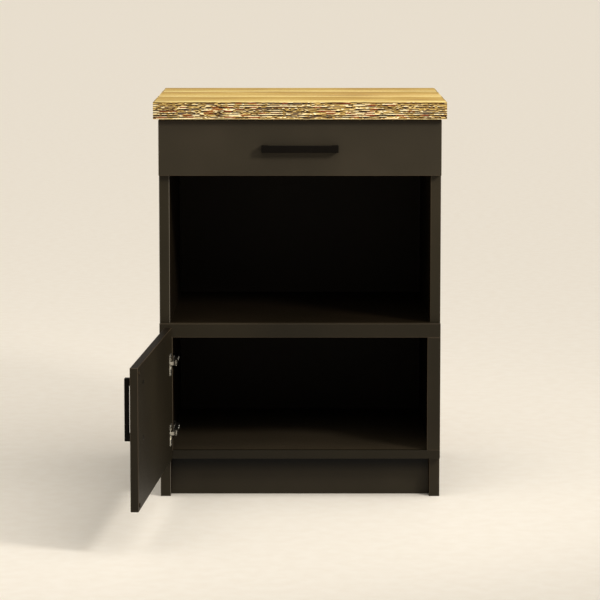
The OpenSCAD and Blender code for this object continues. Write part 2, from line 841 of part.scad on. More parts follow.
// Middle line of the cranked link at a share t of its length, from the arm's pin to the cup's
link_across = [-link_vector[1], link_vector[0]] / link_l;
function link_point(t, off) = arm_pin + t * link_vector
    + (4 * link_crank * t * (1 - t) + off) * link_across;
module link_closed() {
    along = [for (i = [0:link_steps]) i / link_steps];
    outline = concat([for (t = along) link_point(t, link_t / 2)],
        [for (i = [link_steps:-1:0]) link_point(i / link_steps, -link_t / 2)]);
    difference() {
        translate([0, 0, -link_h / 2]) union() {
            linear_extrude(link_h) polygon(outline);
            for (at = [arm_pin, cup_pin_closed])
                translate([at[0], at[1], 0]) cylinder(r = link_eye_r, h = link_h);
        }
        for (at = [arm_pin, cup_pin_closed])
            translate([at[0], at[1], -link_h]) cylinder(d = pin_d + 2 * pin_play, h = 2 * link_h);
    }
}
module hinge_links() {
    color(steel) swing_link() at_hinges() link_closed();
}

// ---------------------------------------------------------------- hinges, cabinet side

module arm() {
    fork_h = link_h + 2 * link_gap;
    difference() {
        union() {
            translate([arm_pin[0], arm_pin[1], -arm_h / 2]) cylinder(d = arm_w, h = arm_h);
            box([arm_x0, arm_pin[1], -arm_h / 2], [arm_x1, arm_back_y, arm_h / 2]);
        }
        box([arm_x0 - eps, arm_pin[1] - arm_w, -fork_h / 2],
            [arm_x1 + eps, arm_pin[1] + arm_fork, fork_h / 2]);
        translate([arm_pin[0], arm_pin[1], -arm_h]) cylinder(d = pin_d, h = 2 * arm_h);
        arm_screws(fixing_play);
    }
}
module arm_screws(play = 0) {
    for (y = [plate_y0 + arm_screw_in / 2, arm_back_y - arm_screw_in / 2])
        translate([arm_x1, y, 0]) rotate([0, -90, 0]) screw(ARM_SCREW, arm_w + ARM_SCREW[1], play);
}
module plate_screws(play = 0) {
    for (y = [plate_y0 + arm_screw_in, plate_y0 + plate_l - plate_screw_in])
        translate([arm_x0 - PLATE_SCREW[3], y, 0]) rotate([0, -90, 0])
            screw(PLATE_SCREW, PLATE_SCREW[1], play);
}
module hinge_arms() {
    color(steel) at_hinges() arm();
}
module hinge_plates() {
    color(steel) at_hinges() difference() {
        box([-inner_x, plate_y0, -plate_h / 2], [arm_x0, plate_y0 + plate_l, plate_h / 2]);
        plate_screws(fixing_play);
        arm_screws(fixing_play);
    }
}
module hinge_plate_screws(play = 0) {
    color(zinc) at_hinges() plate_screws(play);
}
module hinge_arm_screws() {
    color(zinc) at_hinges() arm_screws();
}
module hinge_arm_pins() {
    color(zinc) at_hinges() hinge_pin(arm_pin, arm_h / 2);
}

echo(arm_pin = arm_pin, cup_pin = cup_pin, link_turn = link_turn, total_h = total_h);

worktop();
worktop_front_edge();
worktop_end_edges();
side_panel_left();
side_panel_right();
floor_panel();
middle_shelf();
drawer_divider();
front_stretcher();
back_stretcher();
back_panel();
plinth_board();
frame_top_rail();
frame_bottom_rail();
frame_stile_left();
frame_stile_right();
wood_dowels();
cam_bolts();
cam_locks();
worktop_screws();
back_panel_nails();
drawer_front();
drawer_side_left();
drawer_side_right();
drawer_inner_front();
drawer_back();
drawer_bottom();
drawer_box_screws();
drawer_front_screws();
drawer_handle();
drawer_handle_screws();
runner_cabinet_left();
runner_cabinet_right();
runner_middle_left();
runner_middle_right();
runner_drawer_left();
runner_drawer_right();
runner_outer_balls();
runner_inner_balls();
runner_cabinet_screws();
runner_drawer_screws();
door_panel();
door_handle();
door_handle_screws();
door_pads();
hinge_cups();
hinge_cup_screws();
hinge_cup_pins();
hinge_links();
hinge_arm_pins();
hinge_arms();
hinge_plates();
hinge_plate_screws();
hinge_arm_screws();
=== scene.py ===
# %% [markdown]
# # A kitchen cabinet with a drawer, an open niche and a swing door
#
# The real cabinet is a box of melamine-faced boards with an oak-effect worktop. Its boards,
# fittings and joints are already exact solids, measured in metres, so this notebook only gives
# them their looks: rounded edges, screw heads with their crosses, the rough-sawn front of the
# worktop, and every finish. First the solids are loaded. Each one is an object at the origin,
# and it moves with one body: the carcass, the drawer, the door or a small part of their fittings.

# %% Load the solid parts
import math

import bmesh
import bpy
from mathutils import Matrix, Vector, noise


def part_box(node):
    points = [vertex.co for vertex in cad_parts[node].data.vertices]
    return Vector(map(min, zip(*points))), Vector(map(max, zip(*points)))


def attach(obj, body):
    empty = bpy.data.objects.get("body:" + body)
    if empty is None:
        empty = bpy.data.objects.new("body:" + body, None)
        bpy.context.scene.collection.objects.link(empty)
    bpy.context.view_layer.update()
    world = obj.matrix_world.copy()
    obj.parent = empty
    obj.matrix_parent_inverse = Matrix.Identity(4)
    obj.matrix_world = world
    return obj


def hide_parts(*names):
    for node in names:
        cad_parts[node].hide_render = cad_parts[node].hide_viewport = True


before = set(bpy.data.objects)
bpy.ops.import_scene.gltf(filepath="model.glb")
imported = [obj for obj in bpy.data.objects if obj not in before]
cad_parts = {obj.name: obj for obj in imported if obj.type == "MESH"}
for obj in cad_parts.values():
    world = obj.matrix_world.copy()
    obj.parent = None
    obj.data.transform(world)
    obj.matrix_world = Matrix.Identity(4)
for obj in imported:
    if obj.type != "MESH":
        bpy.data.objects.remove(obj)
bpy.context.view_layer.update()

# %% [markdown]
# ## The camera
#
# The photo looks at the cabinet from well in front and a little above the worktop, so the camera
# stands there and tilts down. A long lens far away keeps the uprights nearly parallel, as they
# are in the photo. The lens is given for a 36 mm wide sensor and a square picture, and nothing
# is shifted or blurred, so that other views stay honest.

# %% Camera
CAMERA_PLACE = (0.0, -6.324, 1.193)
CAMERA_TILT = 6.96           # degrees below the horizontal
CAMERA_LENS = 177.84         # millimetres, as the sensor's width is
CAMERA_SENSOR = 36.0
CAMERA_REACH = 500.0         # the wide floor is drawn out to here


def put_in_scene(name, data):
    """A new object of that name in the scene, with a mesh, a lamp or a camera as its data."""
    thing = bpy.data.objects.new(name, data)
    bpy.context.scene.collection.objects.link(thing)
    return thing


camera = put_in_scene("front_camera", bpy.data.cameras.new("front_camera"))
camera.data.lens = CAMERA_LENS
camera.data.sensor_width = CAMERA_SENSOR
camera.data.clip_end = CAMERA_REACH
camera.location = CAMERA_PLACE
camera.rotation_euler = (math.radians(90.0 - CAMERA_TILT), 0.0, 0.0)
bpy.context.scene.camera = camera
print("camera", CAMERA_PLACE, "lens", CAMERA_LENS)

# %% [markdown]
# ## Light and tone
#
# The room lights the cabinet softly and almost from everywhere: the floor in front of it is
# bright and throws light back up. A pale sky and one very broad sun do that evenly, right out to
# the far floor, and so broad a sun lets its light fade slowly into the open compartment. A
# square lamp on the right adds the slow change of tone from left to right. The Standard view
# transform shows each colour as it was mixed, which makes dark laminates easy to match.

# %% Lamps, sky and tone
SKY_COLOUR = (0.95, 0.89, 0.80, 1.0)
SKY_STRENGTH = 0.42


def hang_lamp(name, kind, place, aim, power, warmth, **shape):
    """A lamp of a kind that faces the point aim; shape sets its size or its spread."""
    lamp = put_in_scene(name, bpy.data.lights.new(name, kind))
    lamp.data.energy = power
    lamp.data.color = warmth
    for setting, value in shape.items():
        setattr(lamp.data, setting, value)
    lamp.location = place
    lamp.rotation_euler = (Vector(aim) - Vector(place)).to_track_quat("-Z", "Y").to_euler()
    print(name, power)


hang_lamp("broad_sun", "SUN", place=(0.5, -1.2, 2.9), aim=(0.0, 0.0, 0.4), power=1.90,
          warmth=(1.0, 0.96, 0.89), angle=math.radians(80.0))
hang_lamp("key_lamp", "AREA", place=(1.6, -1.5, 1.75), aim=(0.0, -0.1, 1.5), power=23.0,
          warmth=(1.0, 0.95, 0.87), size=0.5, spread=math.radians(100.0))

sky = bpy.data.worlds.new("pale_sky")
sky.use_nodes = True
backdrop = sky.node_tree.nodes["Background"]
backdrop.inputs["Color"].default_value = SKY_COLOUR
backdrop.inputs["Strength"].default_value = SKY_STRENGTH
bpy.context.scene.world = sky
bpy.context.scene.view_settings.view_transform = "Standard"
bpy.context.scene.view_settings.look = "None"

# %% [markdown]
# ## How the finishes are mixed
#
# Every finish is a Principled shader with a few texture nodes. A flat colour would be quicker,
# but a real board is mottled, pressed and worn, and that is what the eye looks for up close. A
# value that is the same all over goes on the shader's own socket. Colours are picked as they
# look on a screen, so they are first turned into the linear light that shaders reckon in.

# %% Colours and shaders
def paint(code):
    """A hex colour as seen on a screen, turned into linear values by the sRGB formula."""
    parts = [int(code[i:i + 2], 16) / 255 for i in (1, 3, 5)]
    return [p / 12.92 if p <= 0.04045 else ((p + 0.055) / 1.055) ** 2.4 for p in parts] + [1.0]


def new_finish(name, **uniform):
    """A material, its node tree and its shader, with the uniform sockets set."""
    material = bpy.data.materials.new(name)
    material.use_nodes = True
    shader = material.node_tree.nodes["Principled BSDF"]
    for socket, value in uniform.items():
        shader.inputs[socket.replace("_", " ")].default_value = value
    print("finish", name)
    return material, material.node_tree, shader


print("half grey on a screen is", round(paint("#808080")[0], 3), "in linear light")

# %% [markdown]
# ## Patterns in metres
#
# The parts sit at the origin, so Object coordinates are metres on the cabinet: noise with a
# stretch of 200 along Z has 200 patches in each metre of height. Unwrapped pictures could give
# grain too, but every board would need its own unwrapping, and noise needs none.

# %% Patches and places
def each_way(stretch):
    """The same stretch along X, Y and Z."""
    return (stretch, stretch, stretch)


def lay_out(tree, texture, stretch, start=(0.0, 0.0, 0.0)):
    """Lets a texture node read the Object coordinates times stretch, moved on by start."""
    where = tree.nodes.new("ShaderNodeTexCoord")
    mapping = tree.nodes.new("ShaderNodeMapping")
    mapping.inputs["Scale"].default_value = stretch
    mapping.inputs["Location"].default_value = start
    tree.links.new(where.outputs["Object"], mapping.inputs["Vector"])
    tree.links.new(mapping.outputs["Vector"], texture.inputs["Vector"])


def patches(tree, stretch, detail=4.0, harshness=0.5, warp=0.0, start=(0.0, 0.0, 0.0)):
    """Noise from 0 to 1, with stretch patches in a metre along X, Y and Z."""
    cloud = tree.nodes.new("ShaderNodeTexNoise")
    settings = {"Scale": 1.0, "Detail": detail, "Roughness": harshness, "Distortion": warp}
    for socket, number in settings.items():
        cloud.inputs[socket].default_value = number
    lay_out(tree, cloud, stretch, start)
    return cloud.outputs[0]


def places(tree):
    """A point's Object coordinates as three values, by the names X, Y and Z."""
    where = tree.nodes.new("ShaderNodeTexCoord")
    split = tree.nodes.new("ShaderNodeSeparateXYZ")
    tree.links.new(where.outputs["Object"], split.inputs[0])
    return split.outputs


# %% [markdown]
# ## From a pattern to colour, shine and relief
#
# A pattern is a value from 0 to 1. A colour ramp gives it tones, a map range picks the stretch
# of it that matters, and a mix lays one colour over another by it. A bump node reads a value as
# a height, and where the colour comes from the same value, the two agree. Real geometry would
# be truer, but grain this fine would take millions of faces.

# %% Helpers that mix and emboss
def tones(tree, value, *stops):
    """A colour for each value: the stops are pairs of a position and a hex colour."""
    ramp = tree.nodes.new("ShaderNodeValToRGB")
    while len(ramp.color_ramp.elements) < len(stops):
        ramp.color_ramp.elements.new(0.5)
    for element, (position, code) in zip(ramp.color_ramp.elements, stops):
        element.position = position
        element.color = paint(code)
    tree.links.new(value, ramp.inputs["Fac"])
    return ramp.outputs["Color"]


def between(tree, value, low, high, start=0.0, end=1.0):
    """The value's stretch from low to high, drawn out to run from start to end."""
    span = tree.nodes.new("ShaderNodeMapRange")
    ends = {"From Min": low, "From Max": high, "To Min": start, "To Max": end}
    for socket, number in ends.items():
        span.inputs[socket].default_value = number
    tree.links.new(value, span.inputs["Value"])
    return span.outputs["Result"]


def lay_over(tree, amount, under, over):
    """The colour over is laid on the colour under, by amount; either may be a hex code."""
    mix = tree.nodes.new("ShaderNodeMix")
    mix.data_type = "RGBA"           # its colour sockets are inputs 6 and 7, and output 2
    for socket, colour in ((mix.inputs[6], under), (mix.inputs[7], over)):
        if isinstance(colour, str):
            socket.default_value = paint(colour)
        else:
            tree.links.new(colour, socket)
    tree.links.new(amount, mix.inputs[0])
    return mix.outputs[2]


def combine(tree, first, second, way="MULTIPLY"):
    """One step of arithmetic on two values, each of them a socket or a number."""
    step = tree.nodes.new("ShaderNodeMath")
    step.operation = way
    for socket, value in zip(step.inputs, (first, second)):
        if isinstance(value, float):
            socket.default_value = value
        else:
            tree.links.new(value, socket)
    return step.outputs[0]


def emboss(tree, shader, height, depth):
    """A relief of that depth, in metres, from a value between 0 and 1."""
    bump = tree.nodes.new("ShaderNodeBump")
    bump.inputs["Distance"].default_value = depth
    tree.links.new(height, bump.inputs["Height"])
    tree.links.new(bump.outputs["Normal"], shader.inputs["Normal"])


def connect(tree, shader, colour, roughness=None):
    """Plugs a colour, and a roughness where it varies, into the shader."""
    tree.links.new(colour, shader.inputs["Base Color"])
    if roughness is not None:
        tree.links.new(roughness, shader.inputs["Roughness"])


# %% [markdown]
# ## Dark laminates
#
# The boards are faced with a brown-black melamine: matt, faintly mottled, with a fine pressed
# texture that breaks up the reflections. The plastic band on a board's edge is a little
# smoother, and its rounded corner is painted lighter, a painted highlight that draws the thin
# line along each board. The left side panel's corner is shinier and painted paler still, a
# painted highlight where it catches the lamp. The plinth is painted darker towards its top, a
# painted shade under the overhang. The faces inside the cabinet and the bottom rail of the
# frame take darker copies of the melamine, painted shade. One recipe with other tones serves
# them all, so they look like one make.

# %% Finishes of the dark boards
SLOW_CLOUDS = each_way(4.0)
SPECKLE = each_way(420.0)
PRESSED_GRAIN = each_way(1500.0)
PAINTED_SHADE_BAND = (0.048, 0.070)  # painted shade: the plinth is painted darker from the first height up to full dark at the second


def laminate(name, tone, lighter, darker, roughness=0.48, gloss=0.15, texture=0.00006,
             painted_top_shade=False):
    """Melamine: slow mottling, fine speckle and a pressed grain, and if asked a painted shade
    darker towards the top.
    """
    material, tree, shader = new_finish(name, Specular_IOR_Level=gloss)
    cloud = patches(tree, SLOW_CLOUDS, detail=3.0)
    fine = patches(tree, SPECKLE, detail=2.0)
    mottled = tones(tree, cloud, (0.3, darker), (0.52, tone), (0.72, lighter))
    colour = lay_over(tree, between(tree, fine, 0.45, 0.75, 0.0, 0.25), mottled, lighter)
    if painted_top_shade:
        # Painted shade: darker towards the plinth's top, under the overhang.
        colour = lay_over(tree, between(tree, places(tree)["Z"], *PAINTED_SHADE_BAND), colour, "#060503")
    shine = between(tree, fine, 0.3, 0.7, roughness - 0.05, roughness + 0.06)
    connect(tree, shader, colour, shine)
    emboss(tree, shader, patches(tree, PRESSED_GRAIN, detail=2.0), texture)
    return material


carcass_laminate = laminate("carcass_laminate", "#231e14", "#292319", "#1f1a10")
frame_laminate = laminate("frame_laminate", "#201b11", "#252015", "#1b170e")
# A darker copy of the frame's melamine for its bottom rail, a painted shade.
low_rail_painted_shade_laminate = laminate("low_rail_painted_shade_laminate", "#1b170d", "#1f1a11", "#17130b")
front_laminate = laminate("drawer_front_laminate", "#29241a", "#2f291f", "#241f16")
plinth_laminate = laminate("plinth_laminate_painted_shade", "#2a251b", "#302a20", "#252017", painted_top_shade=True)
shelf_laminate = laminate("shelf_laminate", "#312a1f", "#373025", "#2b251b")
# A darker copy of the same melamine, a painted shade, for the faces inside the cabinet and the
# drawer, the back panel's inner face and the door's top edge.
painted_shade_laminate = laminate("painted_shade_laminate", "#18120a", "#1c160d", "#140f07", gloss=0.08)
band_plastic = laminate("edge_band", "#241f14", "#2a2419", "#1f1b11",
                        roughness=0.42, texture=0.00003)
# The rounded corner of the band is painted lighter than the band: a painted highlight.
painted_highlight_corner = laminate("band_corner_painted_highlight", "#3b3124", "#463b2c", "#31281c",
                       roughness=0.40, gloss=0.22, texture=0.00002)
# The left side panel's corner: glossier, and painted paler still, a painted highlight where it
# catches the lamp.
glossy_painted_highlight_corner = laminate("band_corner_glossy_painted_highlight", "#5c564c", "#686257", "#504a40",
                        roughness=0.34, gloss=0.55, texture=0.00002)

# %% [markdown]
# ## Raw chipboard and hardboard
#
# Edges that face the wall or the floor are left raw on such a cabinet: pressed chips, pale and
# coarse. The back panel is thin hardboard, painted dark on the side that shows in the niche, a
# painted shade, and brown fibre on the side to the wall. Noise would look like felt here. A
# Voronoi texture, pressed flat, gives separate chips of many tones instead.

# %% Finishes of the raw boards
CHIPS = (260.0, 260.0, 700.0)


def chipboard(name):
    """Pressed wood chips: flat cells of several straw tones, with dark gaps."""
    material, tree, shader = new_finish(name, Roughness=0.85, Specular_IOR_Level=0.2)
    chips = tree.nodes.new("ShaderNodeTexVoronoi")
    chips.inputs["Scale"].default_value = 1.0
    lay_out(tree, chips, CHIPS)
    grey = tree.nodes.new("ShaderNodeRGBToBW")
    tree.links.new(chips.outputs["Color"], grey.inputs["Color"])
    straw = tones(tree, grey.outputs["Val"], (0.2, "#8d6a42"), (0.5, "#b99466"), (0.8, "#d6b88a"))
    gaps = between(tree, chips.outputs["Distance"], 0.35, 0.75)
    connect(tree, shader, lay_over(tree, gaps, straw, "#5b3f25"))
    emboss(tree, shader, between(tree, chips.outputs["Distance"], 0.2, 0.8, 1.0, 0.0), 0.0004)
    return material


def hardboard(name):
    """Brown pressed fibre, with fine paler fibres and darker clouds."""
    material, tree, shader = new_finish(name, Specular_IOR_Level=0.25)
    cloud = patches(tree, each_way(14.0), detail=5.0)
    fibre = patches(tree, each_way(300.0), detail=3.0, warp=0.6)
    brown = tones(tree, cloud, (0.3, "#6b4a2e"), (0.7, "#85603d"))
    colour = lay_over(tree, between(tree, fibre, 0.4, 0.7, 0.0, 0.5), brown, "#a37c52")
    connect(tree, shader, colour, between(tree, fibre, 0.3, 0.7, 0.62, 0.8))
    emboss(tree, shader, fibre, 0.00015)
    return material


raw_chipboard = chipboard("raw_chipboard")
raw_hardboard = hardboard("hardboard_back")

# %% [markdown]
# ## The worktop's upper face
#
# The top is smooth laminate printed as straight-grained oak: a plank's width that repeats,
# honey-coloured bands along the cabinet, bright lines between them and very fine fibres. The
# planks come from a saw-tooth wave: towards the front each one slowly turns paler, and it stops
# at a sharp joint. The bands, lines and fibres are noise, stretched much further along X than
# across.

# %% The smooth oak
PLANK_WIDTH = 0.21           # the print repeats a plank of this width
PLANK_JOINT = 0.135          # one of its joints lies this far behind the plinth board's middle
WAVE_AT_ONE = math.pi / 10.0     # the width of a wave texture's band at a scale of 1
PLANK_TONES = ((0.0, "#ae9038"), (0.10, "#bc9c42"), (0.40, "#d4b45c"), (0.66, "#dfc36a"),
               (0.76, "#f6e292"), (0.97, "#fdeda0"), (1.0, "#bc9c4c"))


def plank_ramp(tree):
    """From 0 just in front of a plank's joint to 1 at the next joint towards the front."""
    wave = tree.nodes.new("ShaderNodeTexWave")
    wave.bands_direction = "Y"
    wave.wave_profile = "SAW"
    wave.inputs["Scale"].default_value = WAVE_AT_ONE / PLANK_WIDTH
    wave.inputs["Distortion"].default_value = 0.35
    wave.inputs["Detail"].default_value = 1.0
    wave.inputs["Detail Scale"].default_value = 0.6
    lay_out(tree, wave, (1.0, -1.0, 1.0), (0.0, PLANK_JOINT, 0.0))
    return wave.outputs["Fac"]


def oak_face(name):
    """Smooth printed oak, its grain along X: each plank turns paler towards its front joint."""
    material, tree, shader = new_finish(name, Specular_IOR_Level=0.12)
    planks = tones(tree, plank_ramp(tree), *PLANK_TONES)
    bands = patches(tree, (0.9, 17.0, 17.0), detail=2.0, warp=0.1)
    figure = patches(tree, (5.0, 42.0, 42.0), harshness=0.6, warp=0.3, start=(3.0, 1.0, 0.0))
    fibre = patches(tree, (16.0, 900.0, 900.0), detail=3.0, harshness=0.6)
    rays = patches(tree, (140.0, 60.0, 60.0), detail=2.0, harshness=0.7, start=(7.0, 2.0, 0.0))
    rosy = lay_over(tree, between(tree, bands, 0.54, 0.68, 0.0, 0.6), planks, "#deb068")
    deep = lay_over(tree, between(tree, bands, 0.46, 0.34, 0.0, 0.6), rosy, "#b3903e")
    figured = lay_over(tree, between(tree, figure, 0.36, 0.50, 0.75, 0.0), deep, "#967230")
    bright = lay_over(tree, between(tree, figure, 0.55, 0.67, 0.0, 0.75), figured, "#fae896")
    flecked = lay_over(tree, between(tree, rays, 0.42, 0.58, 0.22, 0.0), bright, "#a47c34")
    colour = lay_over(tree, between(tree, fibre, 0.35, 0.7, 0.30, 0.0), flecked, "#b0853a")
    connect(tree, shader, colour, between(tree, fibre, 0.3, 0.7, 0.50, 0.40))
    emboss(tree, shader, fibre, 0.00005)
    return material


oak_laminate = oak_face("oak_laminate")

# %% [markdown]
# ## Rows of dashes
#
# The worktop's front and ends are another thing, a rough-sawn print. Seen closely it is many
# thin level rows, dark and pale in turn, and each row is broken into dashes of uneven length.
# Stretched noise gives soft streaks without ends. So the height is cut into pairs of rows, a
# row into cells, and each cell draws one random value. A slow noise makes the cells uneven.

# %% Rows and dashes
ROW_START = 0.00057          # the rows start this far below the floor
ROW_BEND = 0.0006            # and bend up and down by less than this
PALE_SHARE = 0.38            # of a pair of rows, the upper share is pale and the rest deep
ROW_SHIFT = 40.0             # each row starts up to so many dashes further along
SWAY = 2.4                   # the ends of dashes sway along the row by about so many dashes
SWAY_STRETCH = 0.45          # the sway's patches in a metre, for each dash in a metre
SWAY_ROWS = 240.0            # and upwards it has so many patches in a metre


def paired_rows(tree, pairs):
    """Pairs of level rows, so many in a metre: each pair's number, and 1 in its pale row."""
    slow = patches(tree, each_way(5.0), detail=1.0)
    bend = between(tree, slow, 0.0, 1.0, ROW_START - ROW_BEND, ROW_START + ROW_BEND)
    height = combine(tree, combine(tree, places(tree)["Z"], bend, "ADD"), pairs)
    pale = combine(tree, combine(tree, height, 0.0, "FRACT"), 1.0 - PALE_SHARE, "GREATER_THAN")
    return combine(tree, height, 0.0, "FLOOR"), pale


def dashes(tree, row, per_metre, seed):
    """A random value for each dash of a row, with so many dashes in a metre on average."""
    point = places(tree)
    along = combine(tree, point["X"], point["Y"], "ADD")
    stretch = (SWAY_STRETCH * per_metre, SWAY_STRETCH * per_metre, SWAY_ROWS)
    sway = combine(tree, patches(tree, stretch, detail=1.0), SWAY)
    shift = tree.nodes.new("ShaderNodeTexWhiteNoise")
    shift.noise_dimensions = "1D"
    tree.links.new(combine(tree, row, seed, "ADD"), shift.inputs["W"])
    start = combine(tree, combine(tree, shift.outputs["Value"], ROW_SHIFT), sway, "ADD")
    cells = combine(tree, combine(tree, along, per_metre), start, "ADD")
    cell = tree.nodes.new("ShaderNodeCombineXYZ")
    tree.links.new(combine(tree, cells, 0.0, "FLOOR"), cell.inputs["X"])
    tree.links.new(row, cell.inputs["Y"])
    value = tree.nodes.new("ShaderNodeTexWhiteNoise")
    value.noise_dimensions = "2D"
    tree.links.new(cell.outputs[0], value.inputs["Vector"])
    return value.outputs["Value"]


# %% [markdown]
# ## The worktop's sawn edge
#
# Three layers of dashes, long, middling and short, are added up. In a pale row the sum makes a
# dash paler, and in the deep row below it darker, so that the two rows of a pair stand out from
# each other, as if a saw had lifted the wood between them. A few dashes are rust-red or grey.
# The strip also has a real relief. Its depth is an attribute on the piece's points, which the
# finish reads, so that colour and relief agree.

# %% The sawn oak
ROW_PAIRS = 237.35           # pairs of rows in a metre of height
SAW_LAYERS = (               # dashes in a metre, seed, and weight in the sum
    (60.0, 7.0, 0.36),
    (14.0, 3.0, 0.34),
    (190.0, 11.0, 0.30))
SAW_LEVEL = 0.41             # a sum above this is pale in the pale row and dark in the deep one
SAW_CONTRAST = 2.6
CALM_RIM = 0.007             # the contrast grows from half to full over this much of the top
SAW_TONES = ((0.0, "#040100"), (0.22, "#281402"), (0.40, "#664a20"), (0.54, "#9e8446"),
             (0.72, "#c2a460"), (0.88, "#e0c686"), (1.0, "#fcecba"))
RED_DASHES = (0.86, 0.87)    # dashes whose value lies above these are red
GREY_DASHES = (0.18, 0.17)   # and below these grey
SCRAPED = -0.5               # the groove attribute where the strip's lower rim is scraped clean


def sawn_oak(name):
    """Rough-sawn oak: pairs of pale and deep dashes, darker where the groove is deep."""
    material, tree, shader = new_finish(name, Specular_IOR_Level=0.2)
    carried = tree.nodes.new("ShaderNodeAttribute")
    carried.attribute_name = "groove"
    groove = carried.outputs["Fac"]
    pair, pale = paired_rows(tree, ROW_PAIRS)
    layers = [dashes(tree, pair, per_metre, seed) for per_metre, seed, _ in SAW_LAYERS]
    swing = -SAW_LEVEL
    for layer, (_, _, weight) in zip(layers, SAW_LAYERS):
        swing = combine(tree, combine(tree, layer, weight), swing, "ADD")
    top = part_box("worktop")[1].z
    contrast = between(tree, places(tree)["Z"], top, top - CALM_RIM, 0.5 * SAW_CONTRAST,
                       SAW_CONTRAST)
    swing = combine(tree, swing, contrast)
    swing = combine(tree, swing, between(tree, pale, 0.0, 1.0, -1.0, 1.0))
    shade = combine(tree, swing, 0.5, "ADD")
    streaks = tones(tree, shade, *SAW_TONES)
    hue = layers[0]
    red = combine(tree, between(tree, hue, *RED_DASHES), between(tree, pale, 0.0, 1.0, 0.65, 0.15))
    warm = lay_over(tree, red, streaks, "#8a3606")
    mixed = lay_over(tree, between(tree, hue, *GREY_DASHES, 0.0, 0.25), warm, "#7c746c")
    fibre = patches(tree, (90.0, 90.0, 1600.0), detail=2.0, harshness=0.6)
    rimmed = lay_over(tree, between(tree, groove, 0.0, SCRAPED, 0.0, 0.8), mixed, "#e6cf92")
    dark = lay_over(tree, between(tree, groove, 0.10, 0.7, 0.0, 0.75), rimmed, "#2e1a0b")
    colour = lay_over(tree, between(tree, fibre, 0.35, 0.6, 0.3, 0.0), dark, "#5d4023")
    connect(tree, shader, colour, between(tree, shade, 0.3, 0.7, 0.72, 0.58))
    emboss(tree, shader, fibre, 0.00025)
    return material


sawn_edge = sawn_oak("sawn_oak_edge")

# %% [markdown]
# ## Metals, beech and felt
#
# Zinc-plated screws are pale grey with a slightly cloudy shine. The drawer runners are
# galvanised strip, with larger patches and marks drawn along their length. The hinges are
# nickel-plated, and their plating is painted in a paler and a darker copy: the cups, whose
# flanges face the lamp, take the paler one, a painted highlight, and the arms the darker and
# slightly rougher one, a painted shade. The handles are powder-coated, a satin black with a
# faint orange-peel surface. A metal mostly shows what it mirrors, so its roughness varies as
# well as its tone.

# %% Finishes of fittings
MARKS_FINER = 8.0            # a plating's marks are so many times finer than its clouds


def plated(name, light, dark, roughness, stretch):
    """A plated metal: its tone and shine vary over patches of the given stretch."""
    material, tree, shader = new_finish(name, Metallic=1.0)
    cloud = patches(tree, stretch, warp=0.5)
    marks = patches(tree, tuple(MARKS_FINER * s for s in stretch), detail=3.0)
    connect(tree, shader, tones(tree, cloud, (0.3, dark), (0.7, light)),
            between(tree, marks, 0.3, 0.7, roughness - 0.07, roughness + 0.09))
    emboss(tree, shader, marks, 0.00002)
    return material


def powder_coat(name, tone, lighter):
    """Satin powder coat with a faint orange-peel surface."""
    material, tree, shader = new_finish(name, Specular_IOR_Level=0.07)
    peel = patches(tree, each_way(700.0), detail=2.0)
    colour = lay_over(tree, between(tree, peel, 0.4, 0.7, 0.0, 0.6), tone, lighter)
    connect(tree, shader, colour, between(tree, peel, 0.3, 0.7, 0.36, 0.46))
    emboss(tree, shader, peel, 0.00005)
    return material


def turned_beech(name):
    """Pale beech with short darker flecks."""
    material, tree, shader = new_finish(name, Roughness=0.6)
    fleck = patches(tree, (260.0, 90.0, 260.0))
    connect(tree, shader, tones(tree, fleck, (0.35, "#b98f5d"), (0.6, "#d9b98c")))
    emboss(tree, shader, fleck, 0.0001)
    return material


def pressed_felt(name):
    """Dark brown felt with loose fibres."""
    material, tree, shader = new_finish(name, Roughness=0.95, Specular_IOR_Level=0.1)
    hair = patches(tree, each_way(900.0), detail=5.0, harshness=0.7, warp=1.2)
    connect(tree, shader, tones(tree, hair, (0.3, "#1d160e"), (0.7, "#3a3024")))
    emboss(tree, shader, hair, 0.0003)
    return material


zinc_plate = plated("zinc_plate", "#cfcfca", "#a9a9a4", 0.38, each_way(60.0))
nickel_plate = plated("nickel_plate", "#b4b1a8", "#88847b", 0.27, each_way(90.0))
# A darker, slightly rougher copy and a paler copy of the nickel plating: painted shade on the
# hinge arms and a painted highlight on the cups.
nickel_painted_shade = plated("nickel_plate_painted_shade", "#6f6c65", "#4a4741", 0.34, each_way(90.0))
nickel_painted_highlight = plated("nickel_plate_painted_highlight", "#e9e6dc", "#c4c0b4", 0.30, each_way(90.0))
galvanised = plated("galvanised_strip", "#c9cacb", "#a2a4a6", 0.36, (90.0, 12.0, 90.0))
black_coat = powder_coat("black_powder_coat", "#060402", "#0e0a06")
blackened_steel = plated("blackened_steel", "#3a3733", "#1f1c19", 0.42, each_way(60.0))
beech_wood = turned_beech("beech_dowel")
felt = pressed_felt("felt")
drawer_base = hardboard("drawer_bottom_board")

# %% [markdown]
# ## Copies of the exact solids
#
# Most pieces keep the shape of their solid, holes and all, and only lose their razor-sharp
# edges. A Bevel modifier on the solid would catch on its loose triangles, so a copy of it is
# merged into whole faces first, and the bevel operator rounds the edges that are chosen.

# %% Helpers for copies
FLAT = 1e-5                  # two points this near to one plane lie on it
MERGE = 1e-6                 # points closer than this are one
SAME_PLANE = math.radians(0.5)   # faces that differ by less than this become one
SQUARE = 60.0                # faces that meet at over so many degrees make a square edge
DOOR_TURN = math.radians(93.8)   # the door stands open by this much


